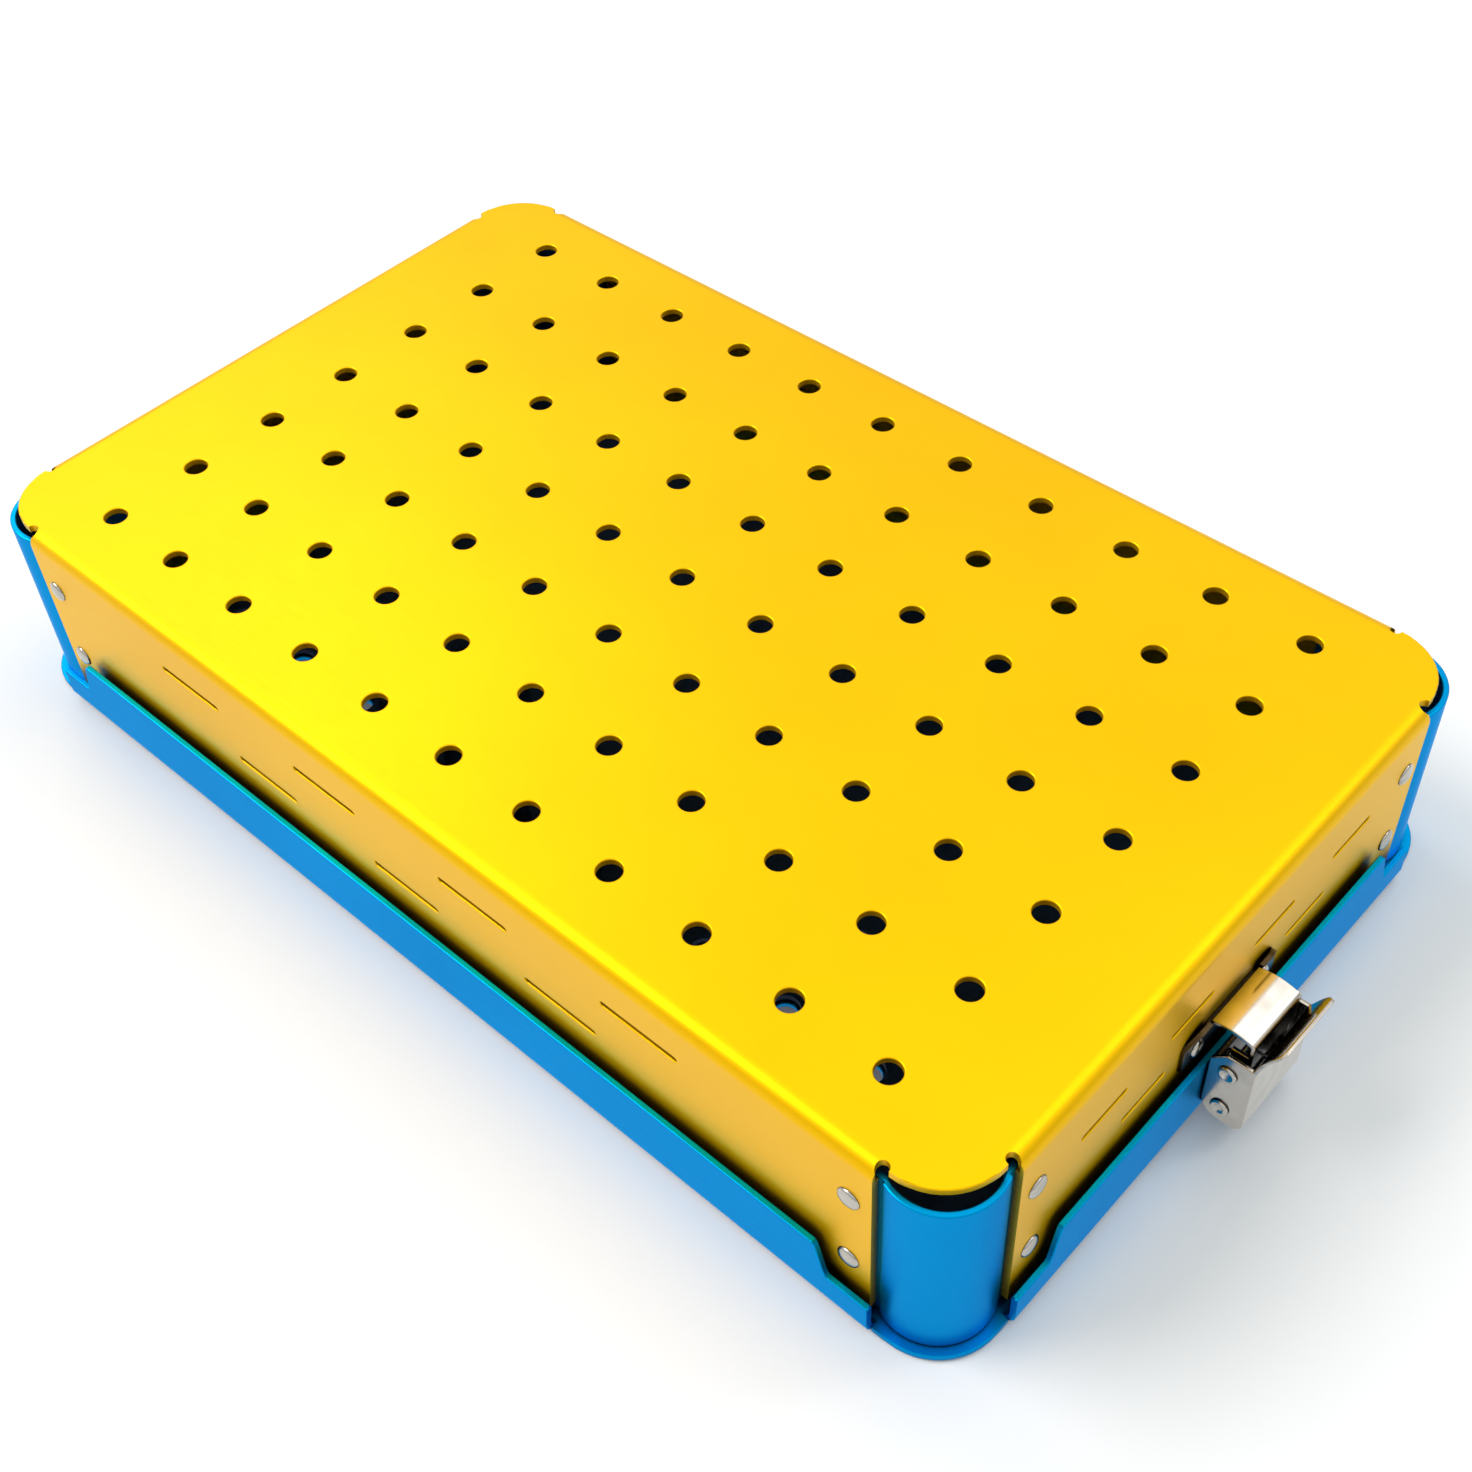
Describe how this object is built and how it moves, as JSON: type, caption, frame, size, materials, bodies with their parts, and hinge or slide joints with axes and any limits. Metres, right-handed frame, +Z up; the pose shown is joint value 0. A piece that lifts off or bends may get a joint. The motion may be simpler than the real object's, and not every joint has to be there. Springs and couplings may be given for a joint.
{
  "type": "dental instrument sterilisation cassette",
  "caption": "Low rectangular sterilisation cassette: perforated folded sheet lid with rounded corner pieces, shallow tray with a finger mat and a sprung hook latch on each short end.",
  "frame": {"origin": "centre of the tray's underside, on the surface the cassette stands on", "axes": "+X along the long side towards one latch, +Y across the short side, +Z up"},
  "size_m": [0.2804, 0.1556, 0.046],
  "materials": {
    "gold_anodised": "satin gold anodised sheet",
    "blue_anodised": "satin blue anodised sheet",
    "rivet_metal": "plain bright rivets and pins",
    "stainless": "polished stainless sheet",
    "silicone": "matt silicone"
  },
  "bodies": {
    "base": {"base_tray": "blue_anodised", "silicone_mat": "silicone", "bracket_right": "stainless", "bracket_rivets_right": "rivet_metal", "bracket_left": "stainless", "bracket_rivets_left": "rivet_metal"},
    "lid": {"lid_shell": "gold_anodised", "corner_front_right": "blue_anodised", "corner_front_left": "blue_anodised", "corner_back_right": "blue_anodised", "corner_back_left": "blue_anodised", "lid_rivets": "rivet_metal", "keeper_right": "stainless", "keeper_rivets_right": "rivet_metal", "keeper_left": "stainless", "keeper_rivets_left": "rivet_metal"},
    "lever_r": {"lever_right": "stainless", "lever_pin_right": "rivet_metal", "hook_pin_right": "rivet_metal", "hook_spring_right": "rivet_metal"},
    "hook_r": {"hook_plate_right": "stainless"},
    "lever_l": {"lever_left": "stainless", "lever_pin_left": "rivet_metal", "hook_pin_left": "rivet_metal", "hook_spring_left": "rivet_metal"},
    "hook_l": {"hook_plate_left": "stainless"}
  },
  "joints": [
    {"name": "lid_lift", "type": "slide", "parent": "base", "child": "lid", "axis": [0, 0, 1], "range_m": [0, 0.06]},
    {"name": "lever_right_swing", "type": "hinge", "parent": "base", "child": "lever_r", "pos_m": [0.1318, 0, 0.0075], "axis": [0, 1, 0], "range_deg": [0, 75]},
    {"name": "hook_right_swing", "type": "hinge", "parent": "lever_r", "child": "hook_r", "pos_m": [0.1318, 0, 0.0175], "axis": [0, 1, 0], "range_deg": [0, 10], "stiffness_Nm_per_rad": 0.02, "springref_deg": -17.19},
    {"name": "lever_left_swing", "type": "hinge", "parent": "base", "child": "lever_l", "pos_m": [-0.1318, 0, 0.0075], "axis": [0, -1, 0], "range_deg": [0, 75]},
    {"name": "hook_left_swing", "type": "hinge", "parent": "lever_l", "child": "hook_l", "pos_m": [-0.1318, 0, 0.0175], "axis": [0, -1, 0], "range_deg": [0, 10], "stiffness_Nm_per_rad": 0.02, "springref_deg": -17.19}
  ]
}
